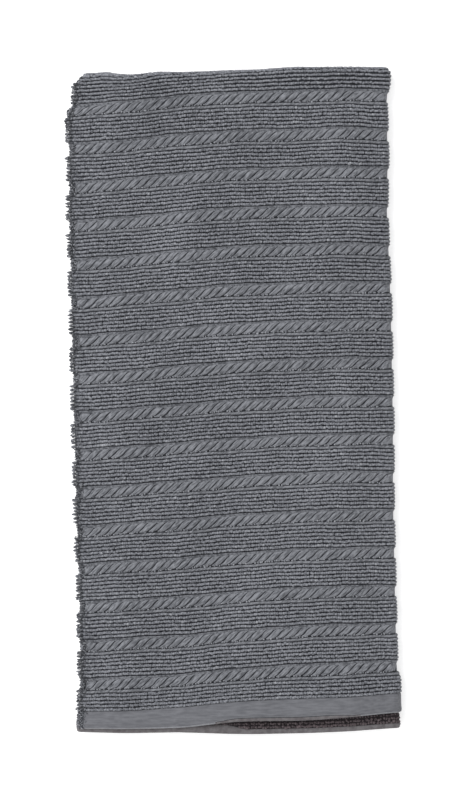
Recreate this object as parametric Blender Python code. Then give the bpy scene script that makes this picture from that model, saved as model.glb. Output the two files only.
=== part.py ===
"""A grey cotton kitchen towel, folded flat and lying face up.

The towel is one sheet of cloth. It is first folded in half across its length, with that fold at the top, so
that every panel is a doubled cloth: a front half, and a back half behind it. The doubled cloth is then folded
in thirds like a letter, with the right third tucked behind first and the left third over it.

So the solid is a hairpin section, the front half joined to the back half by the top fold, swept along the
path of the letter fold. The face has cable bands with ribs between them, and a plain hem at the bottom.

X points to the towel's right, Y to its top fold and Z up, away from the table. Lengths are in metres.
"""

import math
from typing import NamedTuple

import bmesh
import bpy
import numpy as np

# The cloth and the letter fold
CLOTH_WIDTH = 0.457
FOLDED_WIDTH = 0.173
CLOTH_THICKNESS = 0.0020
HALVES_GAP = 0.0005
PANELS_GAP = 0.0005
LEFT_SAG = 0.0024
RIGHT_SAG = 0.0042

# The bands of the face, measured down the cloth from the crown of the top fold at the right edge
FIRST_CABLE = 0.0154
CABLE_PITCH = 0.02047
CABLE_COUNT = 16
CABLE_WIDTH = 0.0062
CABLE_SHOULDER = 0.0011
RIBS_ABOVE = 11
RIBS_BETWEEN = 7
RIBS_BELOW = 6
HEM_SEAM = 0.3369
HEM_EDGE = 0.3483
EDGE_ROUND = 0.0006

# How far the loose corner of the front hem stands up, and over what length
LIFT_START = 0.318
LIFT_LENGTH = 0.029

# The weave's relief fades out on the hidden undersides of the side folds, at these shares of each half turn
LEFT_RELIEF_STARTS = 0.2
LEFT_RELIEF_FULL = 0.4
RIGHT_RELIEF_FULL = 0.5
RIGHT_RELIEF_ENDS = 0.75

# Worked out from the sizes above
PANEL = 2 * CLOTH_THICKNESS + HALVES_GAP
HALF = PANEL / 2
LEVEL = PANEL + PANELS_GAP
LOW = HALF
MIDDLE = LOW + LEVEL
HIGH = MIDDLE + LEVEL
LEFT_RADIUS = (HIGH - LEFT_SAG - LOW) / 2
RIGHT_RADIUS = (HIGH - MIDDLE) / 2
LEFT_TURN = -FOLDED_WIDTH / 2 + LEFT_RADIUS + HALF
RIGHT_TURN = FOLDED_WIDTH / 2 - RIGHT_RADIUS - HALF
FLAP = (CLOTH_WIDTH - (RIGHT_TURN - LEFT_TURN) - math.pi * (LEFT_RADIUS + RIGHT_RADIUS)) / 2
LEFT_FLAP_EDGE = LEFT_TURN + FLAP
RIGHT_FLAP_EDGE = RIGHT_TURN - FLAP
QUARTER_TURN = HALF * math.pi / 2
RIB_PITCH = (CABLE_PITCH - CABLE_WIDTH) / RIBS_BETWEEN
LAST_CABLE = FIRST_CABLE + (CABLE_COUNT - 1) * CABLE_PITCH

# The weave runs a little lower towards the left. Each row is a line of the weave: its distance down the cloth
# at the right edge, and how much further down it is at each fraction of the folded width.
WIDTH_FRACTIONS = (0.0, 0.15, 0.30, 0.50, 0.70, 0.87, 1.0)
WEAVE_LEAN = (
    # line, distance down, further down at each fraction
    ("first cable", FIRST_CABLE, (0.0053, 0.0040, 0.0014, 0.0, -0.0004, -0.0008, 0.0002)),
    ("last cable", LAST_CABLE, (0.0080, 0.0064, 0.0053, 0.0028, 0.0017, 0.0001, 0.0)),
    ("hem seam", HEM_SEAM, (0.0069, 0.0066, 0.0053, 0.0026, 0.0018, 0.0010, 0.0)),
    ("hem edge", HEM_EDGE, (0.0051, 0.0052, 0.0053, 0.0027, 0.0030, 0.0014, 0.0)),
)

# The bottom edge of the back half, below the top fold, and how far the front hem stands up above it
BACK_EDGE = (0.3537, 0.3548, 0.3563, 0.3572, 0.3577, 0.3565, 0.3548)
HEM_LIFT = (0.0, 0.0, 0.0, 0.0019, 0.0022, 0.0025, 0.0012)

# The side folds are not quite straight. Each row is a place below the top fold, and how far each side fold
# stands out there from its straight line.
SIDE_FOLDS = (
    # below the top fold, left fold, right fold
    (0.000, -0.0055, -0.0020),
    (0.004, -0.0036, -0.0003),
    (0.012, -0.0024, 0.0001),
    (0.018, -0.0004, -0.0005),
    (0.047, 0.0000, 0.0000),
    (0.074, 0.0005, -0.0010),
    (0.127, 0.0003, 0.0002),
    (0.190, 0.0000, 0.0003),
    (0.235, -0.0005, -0.0006),
    (0.283, -0.0014, -0.0002),
    (0.324, -0.0010, 0.0000),
    (0.330, -0.0009, 0.0014),
    (0.341, -0.0006, 0.0014),
    (0.346, 0.0004, 0.0002),
    (0.358, 0.0000, -0.0004),
)
LEFT_SWAY_START = 0.056
RIGHT_SWAY_START = 0.058
SWAY_LENGTH = 0.022

# The face panel rises a little between its press creases. Each row is a fraction of the folded width.
FACE_PANEL = (
    # fraction across, rise
    (0.15, 0.0002),
    (0.31, 0.0000),
    (0.44, 0.0005),
    (0.57, 0.0000),
    (0.83, 0.0004),
)
LEFT_TURN_STEPS = 5
RIGHT_TURN_STEPS = 4


class Relief(NamedTuple):
    """How far the bands of the face stand out from the cloth."""

    crest: float
    valley: float
    cable: float
    plain: float = 0.0


FLAT = Relief(crest=0.0, valley=0.0, cable=0.0)
FACE = Relief(crest=0.00035, valley=-0.00035, cable=0.00035)
LEFT_FOLD = Relief(crest=0.00075, valley=-0.00075, cable=-0.00075)
RIGHT_FOLD = Relief(crest=0.00035, valley=-0.00045, cable=-0.00035)


class Station(NamedTuple):
    """One place along the path of the letter fold."""

    x: float
    z: float
    facing: float
    across: float
    relief: Relief
    lift: float = 0.0


class Row(NamedTuple):
    """One line of the face: its distance down the cloth at the right edge, and the band it belongs to."""

    down: float
    band: str


def ramp(value, start, end):
    """A smooth step, from 0 at the start to 1 at the end."""
    part = min(max((value - start) / (end - start), 0.0), 1.0)
    return part * part * (3 - 2 * part)


def mixed(one, other, share):
    """A relief between two others."""
    return Relief(*(a + (b - a) * share for a, b in zip(one, other)))


def across_of(x):
    """The fraction of the folded width at a distance right of the middle."""
    return x / FOLDED_WIDTH + 0.5


def x_of(across):
    """The distance right of the middle at a fraction of the folded width."""
    return (across - 0.5) * FOLDED_WIDTH


def weave_lean(down, across):
    """How much further down the cloth a line of the weave is than at the right edge."""
    lines = [line[1] for line in WEAVE_LEAN]
    leans = [np.interp(across, WIDTH_FRACTIONS, line[2]) for line in WEAVE_LEAN]
    return float(np.interp(down, lines, leans))


def sway(x, below):
    """How far a point moves sideways, because the side folds are not quite straight."""
    places = [row[0] for row in SIDE_FOLDS]
    left = np.interp(below, places, [row[1] for row in SIDE_FOLDS])
    right = np.interp(below, places, [row[2] for row in SIDE_FOLDS])
    left_share = ramp(-x, LEFT_SWAY_START, LEFT_SWAY_START + SWAY_LENGTH)
    right_share = ramp(x, RIGHT_SWAY_START, RIGHT_SWAY_START + SWAY_LENGTH)
    return float(right * right_share - left * left_share)


def ribs(start, end, count):
    """The rows of some ribs: a valley and a crest for each."""
    pitch = (end - start) / count
    for index in range(count):
        yield Row(start + index * pitch, "valley")
        yield Row(start + (index + 0.5) * pitch, "crest")


def face_rows():
    """Every line of the face, from behind the top fold down to the bottom edge of the front hem."""
    top_cable = FIRST_CABLE - CABLE_WIDTH / 2
    rows = list(ribs(top_cable - RIBS_ABOVE * RIB_PITCH, top_cable, RIBS_ABOVE))
    for index in range(CABLE_COUNT):
        start = top_cable + index * CABLE_PITCH
        end = start + CABLE_WIDTH
        rows.append(Row(start, "valley"))
        rows.append(Row(start + CABLE_SHOULDER, "cable"))
        rows.append(Row(end - CABLE_SHOULDER, "cable"))
        if index < CABLE_COUNT - 1:
            rows.extend(ribs(end, start + CABLE_PITCH, RIBS_BETWEEN))
        else:
            rows.extend(ribs(end, HEM_SEAM, RIBS_BELOW))
    rows.append(Row(HEM_SEAM, "valley"))
    rows.append(Row(HEM_SEAM + CABLE_SHOULDER, "plain"))
    rows.append(Row(HEM_EDGE - EDGE_ROUND, "plain"))
    return rows


FACE_ROWS = face_rows()


def round_the_top_fold(down, raised):
    """Where a point of the outer face lies in the section: (below the top fold, out from the middle)."""
    angle = max(-math.pi / 2, min(math.pi / 2, down / HALF))
    straight = max(0.0, abs(down) - QUARTER_TURN)
    reach = HALF + raised
    return HALF - reach * math.cos(angle) + straight, reach * math.sin(angle)


def section(station):
    """The hairpin section at one station, as a closed loop of (below the top fold, out from the middle)."""
    points = []
    for row in FACE_ROWS:
        down = row.down + weave_lean(row.down, station.across)
        raised = getattr(station.relief, row.band) * ramp(down, -QUARTER_TURN, 0.0)
        points.append(round_the_top_fold(down, raised))

    inside = HALVES_GAP / 2
    front_edge = HEM_EDGE + weave_lean(HEM_EDGE, station.across) - QUARTER_TURN + HALF
    back_edge = float(np.interp(station.across, WIDTH_FRACTIONS, BACK_EDGE))
    sides = [row[0] for row in SIDE_FOLDS if HALF < row[0] < HEM_EDGE - CLOTH_THICKNESS]
    points.append((front_edge, HALF - EDGE_ROUND))
    points.append((front_edge, inside + EDGE_ROUND))
    points.append((front_edge - EDGE_ROUND, inside))
    points.extend((below, inside) for below in reversed(sides))
    lift_end = LIFT_START + LIFT_LENGTH
    points = [(below, out + station.lift * ramp(below, LIFT_START, lift_end)) for below, out in points]

    points.append((HALF, inside))
    points.append((HALF - inside, 0.0))
    points.append((HALF, -inside))
    points.extend((below, -inside) for below in sides)
    points.append((back_edge - EDGE_ROUND, -inside))
    points.append((back_edge, -inside - EDGE_ROUND))
    points.append((back_edge, -HALF + EDGE_ROUND))
    points.append((back_edge - EDGE_ROUND, -HALF))
    behind = [below for below in sides if below > HALF - QUARTER_TURN - FACE_ROWS[0].down + EDGE_ROUND]
    points.extend((below, -HALF) for below in reversed(behind))
    return points


def ring(station):
    """The section at one station, as points in space."""
    points = []
    for below, out in section(station):
        x = station.x + out * math.cos(station.facing)
        z = station.z + out * math.sin(station.facing)
        points.append((x + sway(x, below), -below, z))
    return points


def left_flap():
    """The left third, flat on the table with its face down, from its side edge to the left fold."""
    down = math.radians(-90)
    for x in (LEFT_FLAP_EDGE, -LEFT_SWAY_START):
        yield Station(x, LOW, down, across_of(LEFT_TURN), FLAT)


def left_fold():
    """The round fold that carries the left third up to the face panel."""
    middle = LOW + LEFT_RADIUS
    for step in range(LEFT_TURN_STEPS + 1):
        turned = step / LEFT_TURN_STEPS
        facing = math.radians(-90 - 180 * turned)
        x = LEFT_TURN + LEFT_RADIUS * math.cos(facing)
        z = middle + LEFT_RADIUS * math.sin(facing)
        relief = mixed(FLAT, LEFT_FOLD, ramp(turned, LEFT_RELIEF_STARTS, LEFT_RELIEF_FULL))
        relief = mixed(relief, FACE, ramp(turned, LEFT_RELIEF_FULL, 1.0))
        yield Station(x, z, facing, across_of(LEFT_TURN), relief)


def face_panel():
    """The middle third, face up on top of the other two."""
    for across, rise in FACE_PANEL:
        lift = float(np.interp(across, WIDTH_FRACTIONS, HEM_LIFT))
        yield Station(x_of(across), HIGH + rise, math.radians(90), across, FACE, lift)


def right_fold():
    """The tight fold that carries the face panel down to the right third. It sags towards the table."""
    middle = MIDDLE + RIGHT_RADIUS - RIGHT_SAG
    for step in range(RIGHT_TURN_STEPS + 1):
        turned = step / RIGHT_TURN_STEPS
        facing = math.radians(90 - 180 * turned)
        x = RIGHT_TURN + RIGHT_RADIUS * math.cos(facing)
        z = middle + RIGHT_RADIUS * math.sin(facing)
        relief = mixed(FACE, RIGHT_FOLD, ramp(turned, 0.0, RIGHT_RELIEF_FULL))
        relief = mixed(relief, FLAT, ramp(turned, RIGHT_RELIEF_FULL, RIGHT_RELIEF_ENDS))
        lift = HEM_LIFT[-1] * (1 - ramp(turned, 0.0, RIGHT_RELIEF_FULL))
        yield Station(x, z, facing, across_of(RIGHT_TURN), relief, lift)


def right_flap():
    """The right third, face down between the other two, from the right fold to its side edge."""
    down = math.radians(-90)
    for x in (RIGHT_SWAY_START, RIGHT_FLAP_EDGE):
        yield Station(x, MIDDLE, down, across_of(RIGHT_TURN), FLAT)


def loft(name, rings):
    """A closed mesh through rings of points, each joined to the next, with both ends filled."""
    shape = bmesh.new()
    loops = [[shape.verts.new(point) for point in points] for points in rings]
    for near, far in zip(loops, loops[1:]):
        for index, corner in enumerate(near):
            after = (index + 1) % len(near)
            shape.faces.new((corner, near[after], far[after], far[index]))
    shape.faces.new(loops[0])
    shape.faces.new(loops[-1])
    bmesh.ops.recalc_face_normals(shape, faces=shape.faces)
    mesh = bpy.data.meshes.new(name)
    shape.to_mesh(mesh)
    shape.free()
    return mesh


def centred(rings):
    """The rings moved so that the middle of the towel's underside is at the origin."""
    points = np.array(rings)
    low = points.min(axis=(0, 1))
    high = points.max(axis=(0, 1))
    points -= ((low[0] + high[0]) / 2, (low[1] + high[1]) / 2, low[2])
    return points.tolist()


def cotton():
    """Grey dyed cotton."""
    material = bpy.data.materials.new("grey cotton")
    material.use_nodes = True
    surface = material.node_tree.nodes["Principled BSDF"]
    surface.inputs["Base Color"].default_value = (0.141, 0.144, 0.162, 1.0)
    surface.inputs["Roughness"].default_value = 0.95
    surface.inputs["Metallic"].default_value = 0.0
    return material


def main():
    """Clears the scene and makes the towel."""
    for old in list(bpy.data.objects):
        bpy.data.objects.remove(old)
    stations = [*left_flap(), *left_fold(), *face_panel(), *right_fold(), *right_flap()]
    mesh = loft("kitchen_towel", centred([ring(station) for station in stations]))
    mesh.materials.append(cotton())
    towel = bpy.data.objects.new("kitchen_towel", mesh)
    pieces = bpy.data.collections.new("folded kitchen towel")
    bpy.context.scene.collection.children.link(pieces)
    pieces.objects.link(towel)


main()
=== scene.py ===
"""The looks of a grey cotton kitchen towel, folded in half and then in thirds, face up on a pale floor.

The cloth lies on the same folds as the part's solid: a hairpin section, swept along the path of a letter
fold. A place on it is given by three numbers. Along is the distance across the towel, from the side edge
of its left third, round the left fold, over the face, round the right fold and on to the side edge of its
right third. Down is the distance down the cloth from the crown of the top fold, as the weave has it at
the right fold. Raised is the height over the outer surface of the cloth. Lengths are in metres.
"""

import logging
import math
from collections.abc import Callable
from dataclasses import dataclass, field
from enum import Enum

import bpy
import numpy as np
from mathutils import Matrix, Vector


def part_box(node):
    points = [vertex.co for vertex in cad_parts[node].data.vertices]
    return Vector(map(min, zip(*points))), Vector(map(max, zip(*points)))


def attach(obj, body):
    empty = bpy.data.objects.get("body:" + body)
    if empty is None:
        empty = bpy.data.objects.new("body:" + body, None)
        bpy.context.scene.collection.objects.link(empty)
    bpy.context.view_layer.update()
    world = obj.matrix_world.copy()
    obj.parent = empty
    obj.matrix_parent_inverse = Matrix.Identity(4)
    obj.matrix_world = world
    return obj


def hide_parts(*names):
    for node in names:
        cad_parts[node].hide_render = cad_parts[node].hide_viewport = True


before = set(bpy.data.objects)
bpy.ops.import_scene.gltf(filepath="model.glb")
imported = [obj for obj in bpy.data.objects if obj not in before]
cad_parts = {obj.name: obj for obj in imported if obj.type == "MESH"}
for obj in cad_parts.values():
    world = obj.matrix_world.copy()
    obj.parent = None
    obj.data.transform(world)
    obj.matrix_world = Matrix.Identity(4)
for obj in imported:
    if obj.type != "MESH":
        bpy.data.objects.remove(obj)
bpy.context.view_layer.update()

LOG = logging.getLogger("towel")
NODE = "kitchen_towel"
BODY = "root"
BAKE_MAP = "OFBake"
# How many threads and gaps, about, the wave texture has to the metre at scale 1
WAVE_THREADS = 6.283


def ramp(value: np.ndarray, start: float, end: float) -> np.ndarray:
    """Gives a smooth step.

    Args:
        value: Where to read the step.
        start: Where it is still 0.
        end: Where it has become 1.

    Returns:
        The step at each value, from 0 to 1.
    """
    part = np.clip((np.asarray(value, float) - start) / (end - start), 0.0, 1.0)
    return part * part * (3 - 2 * part)


def curve(at: np.ndarray, places: tuple[float, ...], values: tuple[float, ...]) -> np.ndarray:
    """Reads a smooth curve through a few points.

    Args:
        at: Where to read it.
        places: Where its points are, in rising order.
        values: Its value at each point.

    Returns:
        The curve's value at each place, level beyond both ends.
    """
    knots = np.asarray(places, float)
    heights = np.asarray(values, float)
    slopes = np.gradient(heights, knots)
    at = np.clip(np.asarray(at, float), knots[0], knots[-1])
    index = np.clip(np.searchsorted(knots, at, side="right") - 1, 0, len(knots) - 2)
    width = knots[index + 1] - knots[index]
    part = (at - knots[index]) / width
    start = (2 * part**3 - 3 * part**2 + 1) * heights[index]
    end = (3 * part**2 - 2 * part**3) * heights[index + 1]
    leave = (part**3 - 2 * part**2 + part) * width * slopes[index]
    arrive = (part**3 - part**2) * width * slopes[index + 1]
    return start + end + leave + arrive


@dataclass(frozen=True)
class Wave:
    """A slow wave over the cloth, which keeps what repeats from looking even.

    Attributes:
        across: Its length along the cloth.
        down: Its length down the cloth, below 0 where it slopes the other way.
        shift: The share of its length by which it starts early.
    """

    across: float
    down: float
    shift: float = 0.0

    def at(self, along: np.ndarray, down: np.ndarray) -> np.ndarray:
        """Reads the wave, which goes from -1 to 1."""
        return np.sin(2 * math.pi * (along / self.across + down / self.down + self.shift))


class Band(Enum):
    """What a line of the face belongs to, which also says how the cloth there is finished."""

    RIB = "rib"
    SMOOTH_RIB = "smooth rib"
    MARGIN = "cable margin"
    CABLE = "cable"
    HEM = "hem"
    HEM_RIM = "rim of the hem's outer layer"
    HEM_CREASE = "crease under that rim"
    HEM_LAYER = "hem's inner layer"
    HEM_FOLD = "hem fold"
    REVERSE = "reverse"
    BACK_HEM = "back hem"
    FLAT = "pressed flat"
    BENT = "bent open"


@dataclass(frozen=True)
class Line:
    """One line of points along the face.

    Attributes:
        down: Its distance down the cloth.
        band: The band that the cloth below it belongs to.
        crest: Its share of a rib's crest height.
        valley: Its share of a valley's depth.
        cable: Its share of the cable ground's height.
        plain: A height of its own, which the hem has.
        inner: How far it drops where the hem's inner layer shows below the outer one.
    """

    down: float
    band: Band
    crest: float = 0.0
    valley: float = 0.0
    cable: float = 0.0
    plain: float = 0.0
    inner: float = 0.0


@dataclass(frozen=True)
class Weave:
    """The bands of the face, from the top fold down to the hem."""

    # The line of the first cable band, the distance to the next, and how far a band goes from its line
    first_cable: float = 0.0154
    cable_pitch: float = 0.02047
    cable_count: int = 16
    cable_above: float = 0.0036
    cable_below: float = 0.0032
    # The ribs above the first cable band, which go on behind the top fold, then those below it
    ribs_above: int = 11
    ribs_between: int = 7
    ribs_below: int = 6
    hem_seam: float = 0.3369
    hem_edge: float = 0.3483
    # Shares of a rib's height at which it has a line, and between which a smooth rib is smooth
    rib_section: tuple[float, ...] = (0.0, 0.16, 0.38, 0.62, 0.84)
    rib_top: tuple[float, float] = (0.1, 0.8)
    # The power of a rib's sine, below 1 for a fuller section
    rib_power: float = 0.7
    # Distance below the top of a cable band, then the shares of crest, valley and cable ground there
    cable_section: tuple[tuple[float, Band, float, float, float], ...] = (
        (0.0, Band.RIB, 0.0, 0.9, 0.0),
        (0.0003, Band.MARGIN, 0.4, 0.0, 0.0),
        (0.0007, Band.MARGIN, 0.9, 0.0, 0.0),
        (0.0012, Band.MARGIN, 0.1, 0.0, 0.4),
        (0.0018, Band.CABLE, 0.1, 0.0, 0.8),
        (0.0026, Band.CABLE, 0.0, 0.0, 1.0),
    )
    # How far above a cable band's bottom its last line is
    cable_foot: float = 0.0003
    # Share of the hem's height, then the height there and the drop to the inner layer
    hem_section: tuple[tuple[float, Band, float, float], ...] = (
        (0.0, Band.HEM, -0.0005, 0.0),
        (0.06, Band.HEM, 0.0, 0.0),
        (0.3, Band.HEM, 0.0001, 0.0),
        (0.6, Band.HEM, 0.00005, 0.0),
        (0.785, Band.HEM_RIM, 0.0002, 0.0),
        (0.81, Band.HEM_CREASE, 0.00005, 0.0003),
        (0.84, Band.HEM_LAYER, -0.0001, 0.0003),
        (0.92, Band.HEM_FOLD, 0.0001, 0.0002),
    )

    @property
    def rib_pitch(self) -> float:
        """The distance from one rib to the next between two cables."""
        return (self.cable_pitch - self.cable_above - self.cable_below) / self.ribs_between

    @property
    def cables(self) -> list[float]:
        """The line of each cable band, near its middle."""
        return [self.first_cable + index * self.cable_pitch for index in range(self.cable_count)]

    def ribs(self) -> list[tuple[float, float, Band]]:
        """Lists the ribs.

        Returns:
            The top and the bottom of each rib, and whether it is looped or smooth. The rib under a cable is
            smooth.
        """
        top = self.first_cable - self.cable_above
        found = self.rib_group(top - self.ribs_above * self.rib_pitch, top, self.ribs_above, False)
        for cable in self.cables[:-1]:
            start, end = cable + self.cable_below, cable + self.cable_pitch - self.cable_above
            found += self.rib_group(start, end, self.ribs_between, True)
        start = self.cables[-1] + self.cable_below
        return found + self.rib_group(start, self.hem_seam, self.ribs_below, True)

    @staticmethod
    def rib_group(
        start: float, end: float, count: int, smooth_first: bool
    ) -> list[tuple[float, float, Band]]:
        """Lists the ribs between two bands.

        Args:
            start: The top of the first rib.
            end: The bottom of the last rib.
            count: How many ribs there are.
            smooth_first: Whether the first rib borders a cable, and so is smooth.

        Returns:
            The top, the bottom and the kind of each rib.
        """
        pitch = (end - start) / count
        group = []
        for index in range(count):
            kind = Band.SMOOTH_RIB if smooth_first and index == 0 else Band.RIB
            group.append((start + index * pitch, start + (index + 1) * pitch, kind))
        return group

    def lines(self) -> list[Line]:
        """Lists every line of the face.

        Returns:
            The lines, from behind the top fold down to the front hem's edge.
        """
        found = []
        smooth_start, smooth_end = self.rib_top
        for top, bottom, kind in self.ribs():
            for part in self.rib_section:
                crest = math.sin(math.pi * part) ** self.rib_power
                band = kind if smooth_start < part < smooth_end else Band.RIB
                found.append(Line(top + part * (bottom - top), band, crest=crest, valley=1 - crest))
        for cable in self.cables:
            top = cable - self.cable_above
            found += [Line(top + step, band, *shares) for step, band, *shares in self.cable_section]
            found.append(Line(cable + self.cable_below - self.cable_foot, Band.CABLE, cable=1.0))
        found.sort(key=lambda line: line.down)
        height = self.hem_edge - self.hem_seam
        for part, band, plain, inner in self.hem_section:
            found.append(Line(self.hem_seam + part * height, band, plain=plain, inner=inner))
        return found


@dataclass(frozen=True)
class LetterFold:
    """The doubled cloth's path through the letter fold, and how uneven its folds are."""

    # The flat cloth, and the towel folded from it
    cloth_width: float = 0.457
    cloth_length: float = 0.711
    folded_width: float = 0.173
    # The cloth, and the gaps between its halves and between its thirds
    thickness: float = 0.0020
    halves_gap: float = 0.0005
    panels_gap: float = 0.0005
    # How far the face sinks at each side fold, and how far from the middle that starts
    left_sag: float = 0.0024
    left_sag_start: float = 0.0605
    right_sag: float = 0.0042
    right_sag_start: float = 0.058
    # How far from the middle the side folds' sway starts on the left, and over what distance it grows
    sway_start: float = 0.056
    sway_length: float = 0.022
    # How far below the top fold the front hem starts to stand up, and over what distance it does
    lift_start: float = 0.318
    lift_length: float = 0.029
    # Fractions of the folded width at which the columns below are read
    fractions: tuple[float, ...] = (0.0, 0.15, 0.30, 0.50, 0.70, 0.87, 1.0)
    back_edge: tuple[float, ...] = (0.3548, 0.3556, 0.3555, 0.3570, 0.3573, 0.3566, 0.3559)
    hem_lift: tuple[float, ...] = (0.0, 0.0, 0.0, 0.0019, 0.0022, 0.0025, 0.0012)
    # Fractions at which the hem's inner layer starts to show, shows in full, starts to go and is gone
    inner_span: tuple[float, float, float, float] = (0.42, 0.50, 0.78, 0.87)
    # How far its rim slides down where it doesn't show
    inner_slide: float = 0.0009
    # The back half's hem is wider left of the middle
    left_back_hem: float = 0.0050
    right_back_hem: float = 0.0028
    back_hem_step: tuple[float, float] = (0.45, 0.53)
    # Line of the weave, and how much lower it is at each fraction than at the right fold
    lean_lines: tuple[tuple[float, tuple[float, ...]], ...] = (
        (0.0231, (0.0055, 0.0047, 0.0027, 0.0007, 0.0003, -0.0002, 0.0005)),
        (0.0984, (0.0070, 0.0057, 0.0039, 0.0016, 0.0010, 0.0008, 0.0015)),
        (0.1736, (0.0072, 0.0059, 0.0043, 0.0022, 0.0011, 0.0008, 0.0013)),
        (0.2489, (0.0075, 0.0058, 0.0046, 0.0024, 0.0010, 0.0007, 0.0013)),
        (0.2865, (0.0077, 0.0061, 0.0052, 0.0027, 0.0012, 0.0009, 0.0012)),
        (0.3188, (0.0080, 0.0068, 0.0059, 0.0032, 0.0017, 0.0007, 0.0011)),
        (0.3369, (0.0079, 0.0076, 0.0062, 0.0033, 0.0024, 0.0020, 0.0009)),
        (0.3483, (0.0059, 0.0060, 0.0058, 0.0027, 0.0028, 0.0011, 0.0)),
    )
    # Place below the top fold, and how far the left and the right fold stand out there
    side_folds: tuple[tuple[float, float, float], ...] = (
        (0.000, -0.0070, 0.0010), (0.002, -0.0056, 0.0016), (0.0045, -0.0040, 0.0015),
        (0.007, -0.0030, 0.0014), (0.012, -0.0030, 0.0004), (0.0165, -0.0020, 0.0000),
        (0.019, 0.0008, -0.0003), (0.0225, 0.0014, -0.0003), (0.0245, 0.0006, -0.0002),
        (0.047, 0.0003, 0.0000), (0.074, 0.0009, -0.0010), (0.127, 0.0006, 0.0002),
        (0.190, 0.0003, 0.0003), (0.235, -0.0001, -0.0004), (0.283, -0.0010, -0.0002),
        (0.324, -0.0007, 0.0000), (0.330, -0.0006, 0.0014), (0.341, -0.0001, 0.0012),
        (0.348, 0.0009, 0.0014), (0.358, 0.0010, 0.0004),
    )
    # Fraction of the folded width, and how far the top fold dips there
    crown: tuple[tuple[float, float], ...] = (
        (0.04, 0.0), (0.09, -0.0002), (0.15, 0.0009), (0.22, 0.0012), (0.28, 0.0003),
        (0.34, 0.0006), (0.40, 0.0007), (0.52, 0.0001), (0.59, -0.0001), (0.65, -0.0008),
        (0.70, -0.0012), (0.78, -0.0009), (0.96, -0.0010),
    )
    # How far below the top fold its dips can still be seen
    crown_depth: float = 0.013
    # Where down the back half its side folds spread, where across it, and how far at each fold
    opening_down: tuple[float, float] = (0.3462, 0.3500)
    opening_across: tuple[float, float] = (0.066, 0.080)
    left_opening: float = 0.0031
    right_opening: float = 0.0022
    # Fraction of the folded width, and how far the face rises there between its soft press creases
    rises: tuple[tuple[float, float], ...] = (
        (0.035, 0.0), (0.15, 0.0002), (0.24, 0.0001), (0.28, 0.0002), (0.325, 0.0014),
        (0.36, 0.0015), (0.45, 0.0012), (0.56, 0.0011), (0.60, 0.0004), (0.64, 0.0),
        (0.70, 0.0001), (0.83, 0.0001), (0.97, 0.0),
    )
    # How far round each fold the loops and floats go, as shares of its turn, or past it in metres
    tangle_turns: tuple[float, float] = (0.28, 0.88)
    ribbed_turns: tuple[float, float] = (0.79, 0.72)
    twisted_turn: float = 0.86
    twisted_past: float = 0.0022
    # Share of a fold's turn, then the heights of crest, valley and cable ground there
    left_relief: tuple[tuple[float, float, float, float], ...] = (
        (0.1, 0.0, -0.0006, -0.0003),
        (0.35, 0.0004, -0.0006, -0.0012),
        (0.65, 0.0004, -0.0006, -0.0012),
        (1.0, 0.0003, -0.0007, -0.0003),
    )
    right_relief: tuple[tuple[float, float, float, float], ...] = (
        (0.0, 0.0003, -0.0007, -0.0002),
        (0.5, 0.0002, -0.0005, -0.0009),
        (0.8, 0.0, -0.0006, -0.0003),
    )

    @property
    def half(self) -> float:
        """From the middle of the doubled cloth to its outer surface."""
        return self.thickness + self.halves_gap / 2

    @property
    def low(self) -> float:
        """The height of the left third's middle."""
        return self.half

    @property
    def middle(self) -> float:
        """The height of the right third's middle."""
        return self.low + 2 * self.half + self.panels_gap

    @property
    def high(self) -> float:
        """The height of the face panel's middle."""
        return self.middle + 2 * self.half + self.panels_gap

    @property
    def left_radius(self) -> float:
        """The radius of the left fold, at the middle of the doubled cloth."""
        return (self.high - self.left_sag - self.low) / 2

    @property
    def right_radius(self) -> float:
        """The radius of the right fold, at the middle of the doubled cloth."""
        return (self.high - self.middle) / 2

    @property
    def left_turn(self) -> float:
        """Where the left fold starts, right of the middle."""
        return -self.folded_width / 2 + self.left_radius + self.half

    @property
    def right_turn(self) -> float:
        """Where the right fold starts, right of the middle."""
        return self.folded_width / 2 - self.right_radius - self.half

    @property
    def stretches(self) -> tuple[float, float, float, float, float]:
        """The lengths of the cloth's stretches.

        Returns:
            The length of the left third, left fold, face, right fold and right third.
        """
        face = self.right_turn - self.left_turn
        left = math.pi * self.left_radius
        right = math.pi * self.right_radius
        flap = (self.cloth_width - face - left - right) / 2
        return flap, left, face, right, flap

    @property
    def marks(self) -> tuple[float, ...]:
        """Where along the cloth each of its stretches starts, and where the last one ends."""
        return tuple(float(mark) for mark in np.cumsum((0.0, *self.stretches)))

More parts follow.
